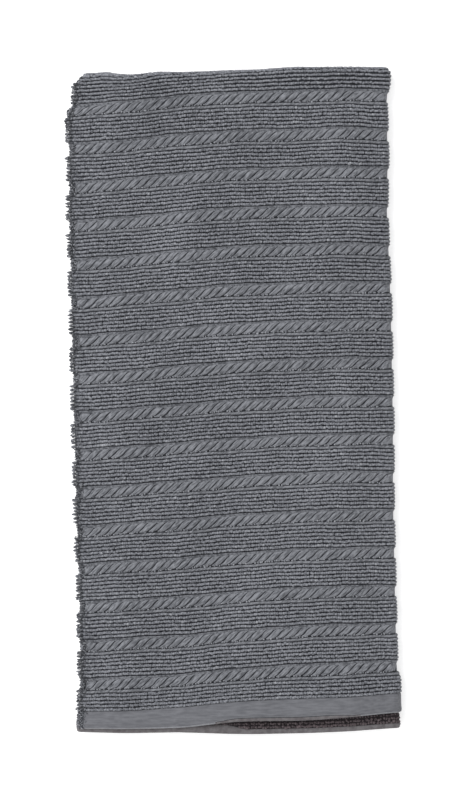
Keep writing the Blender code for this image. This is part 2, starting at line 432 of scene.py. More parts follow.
    def path(self, along: np.ndarray) -> tuple[np.ndarray, np.ndarray, np.ndarray]:
        """Follows the middle of the doubled cloth.

        Args:
            along: Distances from the left third's side edge.

        Returns:
            How far right and how high the cloth is there, and the angle that its outside faces.
        """
        along = np.asarray(along, float)
        _, left_start, face_start, right_start, flap_start, _ = self.marks
        left_turned = math.pi * (along - left_start) / self.stretches[1]
        right_turned = math.pi * (along - right_start) / self.stretches[3]
        up, down = math.pi / 2, -math.pi / 2
        where = [along < left_start, along < face_start, along < right_start, along < flap_start]
        facing = np.select(where, [down, down - left_turned, up, up - right_turned], down)
        face_x = self.left_turn + along - face_start
        x = np.select(
            where,
            [
                self.left_turn + left_start - along,
                self.left_turn + self.left_radius * np.cos(facing),
                face_x,
                self.right_turn + self.right_radius * np.cos(facing),
            ],
            self.right_turn + flap_start - along,
        )
        places, heights = zip(*self.rises)
        rise = curve(face_x / self.folded_width + 0.5, places, heights)
        left_sag = self.left_sag * ramp(-face_x, self.left_sag_start, -self.left_turn)
        right_sag = self.right_sag * ramp(x, self.right_sag_start, self.right_turn)
        z = np.select(
            where,
            [
                self.low + 0 * x,
                self.low + self.left_radius * (1 + np.sin(facing)),
                self.high + rise - left_sag - right_sag,
                self.middle + self.right_radius * (1 + np.sin(facing)) - right_sag,
            ],
            self.middle - right_sag,
        )
        return x, z, facing

    def fraction(self, along: np.ndarray) -> np.ndarray:
        """Gives the fraction of the folded width at which a place on the face lies."""
        across = np.clip(along, self.marks[2], self.marks[3]) - self.marks[2] + self.left_turn
        return across / self.folded_width + 0.5

    def lean(self, along: np.ndarray, down: np.ndarray) -> np.ndarray:
        """Gives how much lower a line of the weave is than at the right fold.

        Args:
            along: Distances along the cloth.
            down: The lines, as distances down the cloth.

        Returns:
            The extra distance down, for each pair.
        """
        lines = [line for line, _ in self.lean_lines]
        fraction = self.fraction(along)
        total = 0.0
        for index, (_, leans) in enumerate(self.lean_lines):
            share = np.interp(down, lines, [float(other == index) for other in range(len(lines))])
            total = total + share * curve(fraction, self.fractions, leans)
        return total

    def inner_share(self, along: np.ndarray) -> np.ndarray:
        """Gives how much of the hem's inner layer shows.

        Args:
            along: Distances along the cloth.

        Returns:
            The share that shows, from 0 to 1.
        """
        start, shown, going, gone = self.inner_span
        fraction = self.fraction(along)
        return ramp(fraction, start, shown) * (1 - ramp(fraction, going, gone))

    def back_hem(self, along: np.ndarray) -> np.ndarray:
        """Gives the height of the back half's hem."""
        right = ramp(self.fraction(along), *self.back_hem_step)
        return self.left_back_hem + (self.right_back_hem - self.left_back_hem) * right

    def lift(self, along: np.ndarray, below: np.ndarray) -> np.ndarray:
        """Gives how far the front hem stands up from the back half.

        Args:
            along: Distances along the cloth.
            below: Distances below the top fold.

        Returns:
            The extra height.
        """
        right_start, turn = self.marks[3], self.stretches[3]
        over_face = np.maximum(curve(self.fraction(along), self.fractions, self.hem_lift), 0.0)
        over_face = over_face * (1 - ramp(along, right_start, right_start + turn / 2))
        return over_face * ramp(below, self.lift_start, self.lift_start + self.lift_length)

    def dip(self, x: np.ndarray, below: np.ndarray) -> np.ndarray:
        """Gives how far a point near the top fold moves down, because the fold is not quite straight."""
        places, dips = zip(*self.crown)
        return curve(x / self.folded_width + 0.5, places, dips) * (1 - ramp(below, 0.0, self.crown_depth))

    def outer_length(self, along: np.ndarray) -> np.ndarray:
        """Gives the distance along the outer surface, which is longer than the middle's round both folds.

        Args:
            along: Distances along the cloth.

        Returns:
            The same distances over the outer surface.
        """
        _, left_start, face_start, right_start, flap_start, _ = self.marks
        left = (np.clip(along, left_start, face_start) - left_start) * self.half / self.left_radius
        right = (np.clip(along, right_start, flap_start) - right_start) * self.half / self.right_radius
        return along + left + right

    def opening(self, x: np.ndarray, below: np.ndarray) -> np.ndarray:
        """Gives how far the back half's side folds spread, where the front half no longer holds them.

        Args:
            x: Distances right of the middle.
            below: Distances below the top fold.

        Returns:
            The extra distance right.
        """
        right = self.right_opening * ramp(x, *self.opening_across)
        left = self.left_opening * ramp(-x, *self.opening_across)
        return (right - left) * ramp(below, *self.opening_down)

    def sway(self, x: np.ndarray, below: np.ndarray) -> np.ndarray:
        """Gives how far a point moves sideways, because the side folds are not quite straight.

        Args:
            x: Distances right of the middle.
            below: Distances below the top fold.

        Returns:
            The extra distance right.
        """
        places, left, right = zip(*self.side_folds)
        left_share = ramp(-x, self.sway_start, self.sway_start + self.sway_length)
        right_share = ramp(x, self.right_sag_start, self.right_sag_start + self.sway_length)
        return np.interp(below, places, right) * right_share - np.interp(below, places, left) * left_share


@dataclass(frozen=True)
class Relief:
    """How far the bands stand out at one place along the cloth.

    Attributes:
        along: The place.
        crest: The height of a rib's crest.
        valley: The height of the valley between two ribs, which is below the surface.
        cable: The height of the ground under a cable.
    """

    along: float
    crest: float
    valley: float
    cable: float


@dataclass(frozen=True)
class Zone:
    """A stretch along the cloth, from the left fold to the right."""

    start: float
    end: float


class Towel:
    """The folded towel's shape: it takes places on the cloth to points of the scene."""

    # How far the ribs wander, and in what waves, then where down the cloth that starts and ends
    WANDERINGS = ((0.00016, Wave(0.047, 0.0613)), (0.00011, Wave(0.0173, -0.0337, 0.3)))
    WANDER_STARTS = (0.004, 0.012)
    WANDER_ENDS = (0.326, 0.336)

    def __init__(self, fold: LetterFold, weave: Weave) -> None:
        """Keeps the fold and the weave, and works out where the relief changes.

        Args:
            fold: The path of the letter fold.
            weave: The bands of the face.
        """
        self.fold = fold
        self.weave = weave
        # How far everything is moved, which is known when the sheet is built
        self.shift = np.zeros(3)
        left_start, right_start = fold.marks[1], fold.marks[3]
        left, right = fold.stretches[1], fold.stretches[3]
        self.reliefs = (
            *(Relief(left_start + share * left, *heights) for share, *heights in fold.left_relief),
            *(Relief(right_start + share * right, *heights) for share, *heights in fold.right_relief),
        )
        tangle_start, tangle_end = (left_start + share * left for share in fold.tangle_turns)
        self.tangle = Zone(tangle_start, tangle_end)
        ribbed_left, ribbed_right = fold.ribbed_turns
        self.ribbed = Zone(left_start + ribbed_left * left, right_start + ribbed_right * right)
        self.twisted = Zone(left_start + fold.twisted_turn * left, right_start + fold.twisted_past)

    def relief(self, along: np.ndarray, line: str) -> np.ndarray:
        """Gives how far a kind of line stands out.

        Args:
            along: Distances along the cloth.
            line: The kind: crest, valley or cable.

        Returns:
            The height at each place.
        """
        return np.interp(along, [r.along for r in self.reliefs], [getattr(r, line) for r in self.reliefs])

    def wobble(self, along: np.ndarray, down: np.ndarray) -> np.ndarray:
        """Gives how far the ribs wander from straight lines, which pressed towelling always does."""
        wandering = sum(height * wave.at(along, down) for height, wave in self.WANDERINGS)
        return wandering * ramp(down, *self.WANDER_STARTS) * (1 - ramp(down, *self.WANDER_ENDS))

    def at(self, along: np.ndarray, below: np.ndarray, out: np.ndarray) -> np.ndarray:
        """Gives points of the doubled cloth.

        Args:
            along: Distances along the cloth.
            below: Distances below the top fold.
            out: Distances out from the middle of the doubled cloth.

        Returns:
            The points, with their coordinates on the last axis.
        """
        x, z, facing = self.fold.path(along)
        below = below + self.fold.dip(x, below)
        x = x + out * np.cos(facing)
        z = z + out * np.sin(facing)
        x = x + self.fold.sway(x, below)
        return np.stack(np.broadcast_arrays(x, -below, z), axis=-1) + self.shift

    def back(self, along: np.ndarray, below: np.ndarray, raised: np.ndarray) -> np.ndarray:
        """Gives points over the back half's inner surface, which shows below the front hem.

        Args:
            along: Distances along the cloth.
            below: Distances below the top fold.
            raised: Heights over the surface.

        Returns:
            The points, with their coordinates on the last axis.
        """
        points = self.at(along, below, raised - self.fold.halves_gap / 2)
        points[..., 0] += self.fold.opening(points[..., 0] - self.shift[0], below)
        return points

    def back_edge(self, along: np.ndarray) -> np.ndarray:
        """Gives how far below the top fold the back half ends."""
        return curve(self.fold.fraction(along), self.fold.fractions, self.fold.back_edge)

    def face(self, along: np.ndarray, down: np.ndarray, raised: np.ndarray) -> np.ndarray:
        """Gives points over the outer surface, round the top fold too.

        Args:
            along: Distances along the cloth.
            down: Distances down the cloth.
            raised: Heights over the surface.

        Returns:
            The points, with their coordinates on the last axis.
        """
        half = self.fold.half
        quarter = half * math.pi / 2
        down = down + self.fold.lean(along, down) + self.wobble(along, down)
        raised = raised * ramp(down, -quarter, 0.0)
        angle = np.clip(down / half, -math.pi / 2, math.pi / 2)
        reach = half + raised
        below = half - reach * np.cos(angle) + np.maximum(np.abs(down) - quarter, 0.0)
        out = reach * np.sin(angle)
        return self.at(along, below, out + self.fold.lift(along, below))


def make_piece(name: str, points: np.ndarray, faces: list, places: np.ndarray) -> bpy.types.Object:
    """Makes a smooth mesh object that rides with the part.

    Args:
        name: The piece's name.
        points: Its points.
        faces: Its faces, as lists of point numbers.
        places: Each point's place on the flat cloth, for the map that its finish is baked through.

    Returns:
        The object, linked to the scene.
    """
    mesh = bpy.data.meshes.new(name)
    mesh.from_pydata(points.reshape(-1, 3).tolist(), [], faces)
    mesh.shade_smooth()
    flat = places.reshape(-1, 2)
    low = flat.min(axis=0)
    flat = (flat - low) / (flat.max(axis=0) - low)
    corners = np.empty(len(mesh.loops), np.int32)
    mesh.loops.foreach_get("vertex_index", corners)
    layer = mesh.uv_layers.new(name=BAKE_MAP)
    layer.uv.foreach_set("vector", flat[corners].astype(np.float32).ravel())
    piece = bpy.data.objects.new(name, mesh)
    bpy.context.scene.collection.objects.link(piece)
    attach(piece, BODY)
    LOG.info("%s: %d points, %d faces", name, len(mesh.vertices), len(mesh.polygons))
    return piece


def linear(colour: str) -> tuple[float, float, float, float]:
    """Turns an sRGB colour to the linear values that the shaders take.

    Args:
        colour: The colour, as #RRGGBB.

    Returns:
        Linear red, green and blue, and an alpha of 1.
    """
    parts = [int(colour[start:start + 2], 16) / 255 for start in (1, 3, 5)]
    red, green, blue = (
        part / 12.92 if part <= 0.04045 else ((part + 0.055) / 1.055) ** 2.4 for part in parts
    )
    return red, green, blue, 1.0


WHITE = linear("#ffffff")


def per_metre(millimetres: float) -> float:
    """Gives the texture scale whose features are this large."""
    return 1000 / millimetres


def add(
    tree: bpy.types.NodeTree, kind: str, settings: dict | None = None, links: dict | None = None
) -> bpy.types.Node:
    """Adds a node.

    Args:
        tree: The node tree.
        kind: The node's type.
        settings: Values for its inputs, or for its own properties where no input has that name.
        links: The output that goes into each named or numbered input.

    Returns:
        The node.
    """
    node = tree.nodes.new(kind)
    for name, value in (settings or {}).items():
        if isinstance(name, int) or name in node.inputs:
            node.inputs[name].default_value = value
        else:
            setattr(node, name, value)
    for name, output in (links or {}).items():
        tree.links.new(output, node.inputs[name])
    return node


@dataclass(frozen=True)
class Cotton:
    """Piece-dyed cotton yarn: quite matt, a little lighter where single yarns took less dye.

    Attributes:
        name: The finish's name.
        deep: The colour of the yarns that took the most dye.
        pale: The colour of those that took the least.
        yarn_mm: The length over which the colour changes along a yarn.
        fibre_mm: The size of the fluff on the surface. Real fibres are 0.02 mm, too fine to show.
        fibre_depth_mm: How far the fluff stands up.
        cloud_mm: The size of the soft patches left by washing and pressing.
        cloud_share: How much they change the tone, next to the yarns.
        tones: The tones at which the colour starts to change from deep to pale, and has changed.
        thread_mm: The width of a plain weave's threads, or 0 where there is none. Real ones are 0.25 mm.
        thread_wander: How far the threads wander from straight lines.
        lay_degrees: The direction that the yarns lie in, up from the way across the towel.
        stretch: How much longer than wide the yarns' streaks of colour are.
        roughness: The shader's roughness, high because fluff scatters the light.
        sheen: How much of the fluff shows as a pale bloom.
        sheen_roughness: How widely that bloom spreads.
        specular: The shader's specular level, low because cotton hardly shines.
        detail: How many finer layers each noise has.
    """

    name: str
    deep: str
    pale: str
    yarn_mm: float
    fibre_mm: float
    fibre_depth_mm: float
    cloud_mm: float = 34.0
    cloud_share: float = 0.2
    tones: tuple[float, float] = (0.45, 0.75)
    thread_mm: float = 0.0
    thread_wander: float = 1.2
    lay_degrees: float = 0.0
    stretch: float = 1.0
    roughness: float = 0.92
    sheen: float = 0.12
    sheen_roughness: float = 0.6
    specular: float = 0.25
    detail: float = 3.0

    def material(self) -> bpy.types.Material:
        """Builds the finish as a material.

        Returns:
            The material.
        """
        material = bpy.data.materials.new(self.name)
        material.use_nodes = True
        tree = material.node_tree
        shader = tree.nodes["Principled BSDF"]
        shader.inputs["Roughness"].default_value = self.roughness
        shader.inputs["Sheen Weight"].default_value = self.sheen
        shader.inputs["Sheen Roughness"].default_value = self.sheen_roughness
        shader.inputs["Specular IOR Level"].default_value = self.specular
        place = add(tree, "ShaderNodeTexCoord").outputs["Object"]
        turn, shrink = (0, 0, -math.radians(self.lay_degrees)), (1 / self.stretch, 1, 1)
        turned = add(tree, "ShaderNodeMapping", {"Rotation": turn}, {"Vector": place})
        laid = add(tree, "ShaderNodeMapping", {"Scale": shrink}, {"Vector": turned.outputs["Vector"]})
        yarn = self.noise(tree, self.yarn_mm, laid.outputs["Vector"])
        cloud = self.noise(tree, self.cloud_mm, place)
        mixing = {"operation": "MULTIPLY_ADD", 1: self.cloud_share}
        tone = add(tree, "ShaderNodeMath", mixing, {0: cloud, 2: yarn})
        colours = add(tree, "ShaderNodeValToRGB", links={"Fac": tone.outputs["Value"]})
        deep, pale = colours.color_ramp.elements
        deep.position, pale.position = self.tones
        deep.color, pale.color = linear(self.deep), linear(self.pale)
        tree.links.new(colours.outputs["Color"], shader.inputs["Base Color"])
        height = self.noise(tree, self.fibre_mm, place)
        if self.thread_mm:
            height = self.weave_height(tree, place, height)
        depth = {"Strength": 1.0, "Distance": self.fibre_depth_mm / 1000}
        bump = add(tree, "ShaderNodeBump", depth, {"Height": height})
        tree.links.new(bump.outputs["Normal"], shader.inputs["Normal"])
        return material

    def noise(
        self, tree: bpy.types.NodeTree, size_mm: float, place: bpy.types.NodeSocket
    ) -> bpy.types.NodeSocket:
        """Adds noise.

        Args:
            tree: The material's node tree.
            size_mm: The size of its largest features.
            place: The texture coordinates.

        Returns:
            Its value.
        """
        settings = {"Scale": per_metre(size_mm), "Detail": self.detail}
        return add(tree, "ShaderNodeTexNoise", settings, {"Vector": place}).outputs["Fac"]

    def weave_height(
        self, tree: bpy.types.NodeTree, place: bpy.types.NodeSocket, fluff: bpy.types.NodeSocket
    ) -> bpy.types.NodeSocket:
        """Adds the threads of a plain weave to the fluff.

        Args:
            tree: The material's node tree.
            place: The texture coordinates.
            fluff: The height of the fluff.

        Returns:
            The height of the two together.
        """
        settings = {
            "wave_type": "BANDS",
            "Distortion": self.thread_wander,
            "Detail": 1.0,
            "Scale": per_metre(self.thread_mm) / WAVE_THREADS,
        }
        total = fluff
        for direction in ("X", "Y"):
            bands = settings | {"bands_direction": direction}
            threads = add(tree, "ShaderNodeTexWave", bands, {"Vector": place})
            parts = {0: total, 1: threads.outputs["Fac"]}
            total = add(tree, "ShaderNodeMath", {"operation": "ADD"}, parts).outputs["Value"]
        return total


# Looped terry yarn. The tops of the loops catch the light.
TERRY = Cotton("terry cotton loops", "#595b61", "#95979e", yarn_mm=0.9, fibre_mm=0.8, fibre_depth_mm=0.2)
# The few loops, picked at random, that are paler than the rest.
PALE = Cotton(
    "pale tips of terry loops", "#6d6f75", "#a5a7ad", yarn_mm=1.2, fibre_mm=0.8, fibre_depth_mm=0.1
)
# The same loops where the folded towel's own weight has pressed them into the ribs.
PRESSED = Cotton(
    "terry cotton pressed flat", "#45474c", "#7f8187", yarn_mm=1.2, fibre_mm=0.9, fibre_depth_mm=0.5
)
# The ground that the loops stand in. It is much darker, because little light comes down between them.
GROUND = Cotton("cotton ground weave", "#1b1d21", "#303238", yarn_mm=1.6, fibre_mm=0.8, fibre_depth_mm=0.12)
# The same ground, its painted shade lighter where it is bent open round a fold and more light comes down to
# it.
LIGHTER_GROUND_SHADE = Cotton(
    "cotton ground weave in lighter painted shade", "#202227", "#3a3d43", yarn_mm=1.6, fibre_mm=0.8, fibre_depth_mm=0.12
)
# Soft twisted floats, pressed flat. Their colour runs in streaks along the slant of the yarns.
FLOATS = Cotton(
    "twisted cotton floats", "#56585d", "#8b8d93", yarn_mm=0.7, fibre_mm=0.8, fibre_depth_mm=0.16,
    lay_degrees=42, stretch=5,
)
# Loops pulled apart round a fold, where they stand in each other's shade.
LOOSE = Cotton("loose cotton loops", "#36383d", "#83858b", yarn_mm=1.4, fibre_mm=0.8, fibre_depth_mm=0.12)
# A plain weave of fine threads, drawn 1.1 mm wide so that it shows.
PLAIN = Cotton(
    "plain woven cotton hem", "#64656a", "#75767b", yarn_mm=1.1, fibre_mm=0.9, fibre_depth_mm=0.04,
    thread_mm=1.1, stretch=6,
)
# The hem's folded edge and the rim of its outer layer, painted paler as a highlight where they catch the
# light.
HEM_HIGHLIGHT = Cotton(
    "hem edge in painted highlight", "#7e7f84", "#8d8e93", yarn_mm=2.5, fibre_mm=0.9, fibre_depth_mm=0.06
)
# The wrong side of the cloth, whose ground has a warmer cast, painted very dark as the shade under the front
# hem.
SHADED_WRONG_SIDE = Cotton(
    "cotton wrong side in painted shade", "#1c181a", "#30292c", yarn_mm=1.8, fibre_mm=0.9, fibre_depth_mm=0.12
)
# Its loops, which stand in the shade of the front hem.
WRONG_LOOPS = Cotton(
    "loops of the wrong side", "#372f32", "#6a5f62", yarn_mm=1.3, fibre_mm=0.8, fibre_depth_mm=0.12
)
# Its hem, of the same fine threads as the other, drawn 1.2 mm wide.
WRONG_HEM = Cotton(
    "wrong side of the hem", "#5e5a5c", "#737072", yarn_mm=2.5, fibre_mm=0.9, fibre_depth_mm=0.05,
    thread_mm=1.2,
)

# The bands that show only where the hem's inner layer does
INNER_BANDS = (Band.HEM_RIM, Band.HEM_CREASE, Band.HEM_LAYER)


@dataclass
class Cloth:
    """The towel's one sheet, closed all round: ribs, cable bands, hems and wrong side."""

    towel: Towel
    # How many steps it takes round a side fold and round a hem's edge, and the length of the others
    turn_steps: int = 14
    edge_steps: int = 5
    face_step: float = 0.0034
    flap_step: float = 0.022
    # How far below the top fold the rows of points are where the weave sets none
    hidden_rows: tuple[float, ...] = (
        0.0045, 0.008, 0.012, 0.018, 0.03, 0.047, 0.074, 0.1, 0.127, 0.19, 0.235,
    )
    hem_rows: tuple[float, ...] = (0.283, 0.3, 0.318, 0.324, 0.33, 0.336, 0.341)
    back_rows: tuple[float, ...] = (0.3445, 0.3465, 0.3485)
    # The depth of the back hem's seam, the width of that crease, and the hem's height below it
    seam_depth: float = 0.0004
    seam_width: float = 0.0004
    back_hem_height: float = 0.0003
    # How far above the back hem's edge its rim starts, and the height there
    rim_start: float = 0.0018
    rim_height: float = 0.0002
    finishes: dict[Band, Cotton] = field(
        default_factory=lambda: {
            Band.RIB: GROUND,
            Band.SMOOTH_RIB: FLOATS,
            Band.MARGIN: PRESSED,
            # The cable bands' ground shows in the gaps between the floats, painted dark as the shade there
            Band.CABLE: GROUND,
            Band.HEM: PLAIN,
            # The hem's rim and its fold are painted paler as a highlight
            Band.HEM_RIM: HEM_HIGHLIGHT,
            # The crease under the hem's rim is painted dark, as the shade in it
            Band.HEM_CREASE: LIGHTER_GROUND_SHADE,
            Band.HEM_LAYER: WRONG_HEM,
            Band.HEM_FOLD: HEM_HIGHLIGHT,
            # The wrong side is painted very dark, as the shade under the front hem
            Band.REVERSE: SHADED_WRONG_SIDE,
            Band.BACK_HEM: WRONG_HEM,
            Band.FLAT: PRESSED,
            Band.BENT: LIGHTER_GROUND_SHADE,
        }
    )

    def stations(self) -> np.ndarray:
        """Gives the places along the cloth where its columns of points stand.

        Returns:
            The places, in rising order.
        """
        marks = self.towel.fold.marks
        steps = [self.flap_step, None, self.face_step, None, self.flap_step]
        found = [marks[0]]
        for start, end, step in zip(marks, marks[1:], steps):
            count = self.turn_steps if step is None else round((end - start) / step)
            found.extend(start + (end - start) * (index + 1) / count for index in range(count))
        return np.array(found)

    def rows(self, along: np.ndarray) -> tuple[list[np.ndarray], list[Band]]:
        """Gives the loop of rows around the section.

        Args:
            along: The columns' places along the cloth.

        Returns:
            Each row's points, and the band of the faces that follow it.
        """
        towel, fold, weave = self.towel, self.towel.fold, self.towel.weave
        rows, bands = [], []
        crest, valley, cable = (towel.relief(along, kind) for kind in ("crest", "valley", "cable"))
        inner = fold.inner_share(along)
        for line in weave.lines():
            raised = crest * line.crest + valley * line.valley + cable * line.cable + line.plain
            raised = raised - inner * line.inner
            slide = fold.inner_slide * (1 - inner) * (line.band in INNER_BANDS)
            rows.append(towel.face(along, line.down + slide, raised))
            bands.append(line.band)

        inside = fold.halves_gap / 2
        radius = fold.thickness / 2
        middle = inside + radius
        front_edge = weave.hem_edge + fold.lean(along, weave.hem_edge) - fold.half * (math.pi / 2 - 1)
        back_edge = towel.back_edge(along)
        steps = self.edge_steps + 1
        turns = [math.pi / 2 - math.pi * (step + 1) / steps for step in range(self.edge_steps)]
        for turn in turns:
            below = front_edge - radius + radius * math.cos(turn)
            over = middle + radius * math.sin(turn) + fold.lift(along, below)
            rows.append(towel.at(along, below, over))
            bands.append(Band.HEM_FOLD)
        for below in reversed(self.hidden_rows + self.hem_rows):
            rows.append(towel.at(along, below, inside + fold.lift(along, below)))
            bands.append(Band.REVERSE)
        for turn in (math.pi / 2, math.pi / 4, 0.0, -math.pi / 4, -math.pi / 2):
            rows.append(towel.at(along, fold.half - inside * math.cos(turn), inside * math.sin(turn)))
            bands.append(Band.REVERSE)
        for below in self.hidden_rows + self.hem_rows + self.back_rows:
            rows.append(towel.back(along, below, 0.0))
            bands.append(Band.REVERSE)
        hem = fold.back_hem(along)
        section = (
            (hem, -self.seam_depth),
            (hem - self.seam_width, self.back_hem_height),
            (self.rim_start, self.rim_height),
        )
        for above, height in section:
            rows.append(towel.back(along, back_edge - above, height))
            bands.append(Band.BACK_HEM)
        for turn in [math.pi / 2, *turns, -math.pi / 2]:
            below = back_edge - radius + radius * math.cos(turn)
            rows.append(towel.back(along, below, inside - middle + radius * math.sin(turn)))
            bands.append(Band.BACK_HEM)
        first = weave.lines()[0].down
        start = fold.half - fold.half * math.pi / 2 - first
        for below in reversed(self.hidden_rows + self.hem_rows):
            if below > start:
                rows.append(towel.at(along, below, -fold.half))
                bands.append(Band.FLAT)
        return rows, bands

    def build(self) -> bpy.types.Object:
        """Builds the sheet, centres it in the CAD's box and puts it in the solid's place.

        Returns:
            The sheet.
        """
        along = self.stations()
        rows, bands = self.rows(along)
        points = np.stack(rows)
        low, high = points.min(axis=(0, 1)), points.max(axis=(0, 1))
        cad_low, cad_high = (np.array(corner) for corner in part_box(NODE))
        self.towel.shift = np.array([*((cad_low + cad_high - low - high) / 2)[:2], cad_low[2] - low[2]])
        points = points + self.towel.shift
        count, columns = len(rows), len(along)
        numbers = np.arange(count * columns).reshape(count, columns)
        after = np.roll(numbers, -1, axis=0)
        quads = np.stack([numbers[:, :-1], after[:, :-1], after[:, 1:], numbers[:, 1:]], axis=-1)
        faces = quads.reshape(-1, 4).tolist()
        faces += [numbers[::-1, 0].tolist(), numbers[:, -1].tolist()]
        places = np.stack(np.meshgrid(along, np.arange(count), indexing="xy"), axis=-1)
        piece = make_piece("towel_cloth", points, faces, places)
        for finish in self.finishes.values():
            piece.data.materials.append(finish.material())
        piece.data.polygons.foreach_set("material_index", self.finish_numbers(along, bands))
        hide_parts(NODE)
        return piece

    def finish_numbers(self, along: np.ndarray, bands: list[Band]) -> np.ndarray:
        """Gives each face the number of its finish.

        Args:
            along: The columns' places along the cloth.
            bands: The band of the faces that follow each row.

        Returns:
            The numbers of the rows' faces and of the two ends.
        """
        kinds, towel = list(self.finishes), self.towel
        between = (along[1:] + along[:-1]) / 2
        numbers = np.repeat([kinds.index(band) for band in bands], len(between)).reshape(len(bands), -1)
        behind = between < towel.tangle.start
        bent = ~behind & (between < towel.tangle.end)
        layered = towel.fold.inner_share(between) > 0
        for row, band in zip(numbers, bands):
            if band not in (Band.REVERSE, Band.BACK_HEM, Band.FLAT):
                row[bent] = kinds.index(Band.BENT)
            if band is Band.RIB:
                row[behind | (between > towel.ribbed.end)] = kinds.index(Band.FLAT)
            elif band is Band.CABLE:
                row[behind | (between > towel.twisted.end)] = kinds.index(Band.SMOOTH_RIB)
            elif band in INNER_BANDS:
                row[~layered & ~bent] = kinds.index(Band.HEM)
            elif band is Band.HEM_FOLD:
                row[layered] = kinds.index(Band.BACK_HEM)
        return np.append(numbers.ravel(), [kinds.index(Band.REVERSE)] * 2).astype(np.int32)


@dataclass(frozen=True)
class Stamp:
    """A small shape that is repeated over the cloth.

    Attributes:
        points: Its points, with X along the cloth, Y up it and Z out of it, in its own sizes.
        faces: Its faces.
    """

    points: np.ndarray
    faces: list[list[int]]

    @staticmethod
    def dome(sides: int, angles: tuple[float, ...]) -> "Stamp":
        """Makes a dome of radius 1, open underneath.

        Args:
            sides: How many sides it has.
            angles: The angle of each ring from its top, in degrees.

        Returns:
            The dome.
        """
        points = [(0.0, 0.0, 1.0)]
        for ring, angle in enumerate(angles):
            for side in range(sides):
                turn = 2 * math.pi * (side + 0.5 * ring) / sides
                reach = math.sin(math.radians(angle))
                points.append((reach * math.cos(turn), reach * math.sin(turn), math.cos(math.radians(angle))))
        faces = [[0, 1 + side, 1 + (side + 1) % sides] for side in range(sides)]
        for ring in range(len(angles) - 1):
            near, far = 1 + ring * sides, 1 + (ring + 1) * sides
            for side in range(sides):
                after = (side + 1) % sides
                faces.append([near + side, far + side, near + after])
                faces.append([near + after, far + side, far + after])
        return Stamp(np.array(points), faces)

    @staticmethod
    def arch(yarn: float, steps: int, sides: int, sunk: float = 0.075) -> "Stamp":
        """Makes a loop of yarn that stands on its two feet, of radius 1 at the middle of the yarn.

        Args:
            yarn: The yarn's radius.
            steps: How many steps the loop has from foot to foot.
            sides: How many sides the yarn has.
            sunk: How far each foot goes on into the cloth, as a share of half a turn.

        Returns:
            The arch.
        """
        points, faces = [], []
        for step in range(steps + 1):
            turn = math.pi * ((1 + 2 * sunk) * step / steps - sunk)
            for side in range(sides):
                round_yarn = 2 * math.pi * side / sides
                reach = 1 + yarn * math.cos(round_yarn)
                points.append((reach * math.cos(turn), yarn * math.sin(round_yarn), reach * math.sin(turn)))
        for step in range(steps):
            for side in range(sides):
                near, after = step * sides + side, step * sides + (side + 1) % sides
                faces.append([near, after, after + sides, near + sides])
        return Stamp(np.array(points), faces)


# The rounded top of a pressed loop
LOOP_TOP = Stamp.dome(7, (48, 98))


@dataclass
class Scatter:
    """Copies of one stamp, each at its own place on one of the towel's surfaces.

    Attributes:
        surface: Takes places along and down the cloth, and heights over it, to points.
        along: The copies' places along the cloth.
        down: Their places down it.
        raised: Their heights over it.
        sizes: Their sizes along the cloth, up it and out of it.
        yaw: How far each is turned, in radians.
        pale: Which of them are paler, where some are.
        step: The distance over which the cloth's direction is read.
    """

    surface: Callable[[np.ndarray, np.ndarray, np.ndarray], np.ndarray]
    along: np.ndarray
    down: np.ndarray
    raised: np.ndarray
    sizes: np.ndarray
    yaw: np.ndarray
    pale: np.ndarray | None = None
    step: float = 0.0002

    def build(self, name: str, stamp: Stamp, finish: Cotton) -> bpy.types.Object:
        """Joins the copies into one piece.

        Args:
            name: The piece's name.
            stamp: The shape, whose faces all have as many corners.
            finish: Its finish, which the pale copies don't have.

        Returns:
            The piece.
        """
        middle = self.surface(self.along, self.down, self.raised)
        right = self.surface(self.along + self.step, self.down, self.raised) - middle
        up = self.surface(self.along, self.down - self.step, self.raised) - middle
        right /= np.linalg.norm(right, axis=-1, keepdims=True)
        out = np.cross(right, up)
        out /= np.linalg.norm(out, axis=-1, keepdims=True)
        up = np.cross(out, right)
        cosine, sine = np.cos(self.yaw)[:, None], np.sin(self.yaw)[:, None]
        first, second = cosine * right + sine * up, cosine * up - sine * right
        shapes = stamp.points[None] * self.sizes[:, None]
        points = middle[:, None] + (
            shapes[..., 0, None] * first[:, None]
            + shapes[..., 1, None] * second[:, None]
            + shapes[..., 2, None] * out[:, None]
        )
        # The floor presses the lowest loops flat
        points[..., 2] = np.maximum(points[..., 2], 0.0)
        count, corners = len(middle), len(stamp.points)
        like = np.array(stamp.faces)
        faces = like[None] + (np.arange(count) * corners)[:, None, None]
        faces = faces.reshape(-1, like.shape[1]).tolist()
        places = np.stack(
            [self.along[:, None] + shapes[..., 0], -self.down[:, None] + shapes[..., 1]], axis=-1
        )
        piece = make_piece(name, points, faces, places)
        piece.data.materials.append(finish.material())
        if self.pale is not None:
            piece.data.materials.append(PALE.material())
            numbers = np.repeat(self.pale, len(like)).astype(np.int32)
            piece.data.polygons.foreach_set("material_index", numbers)
        return piece


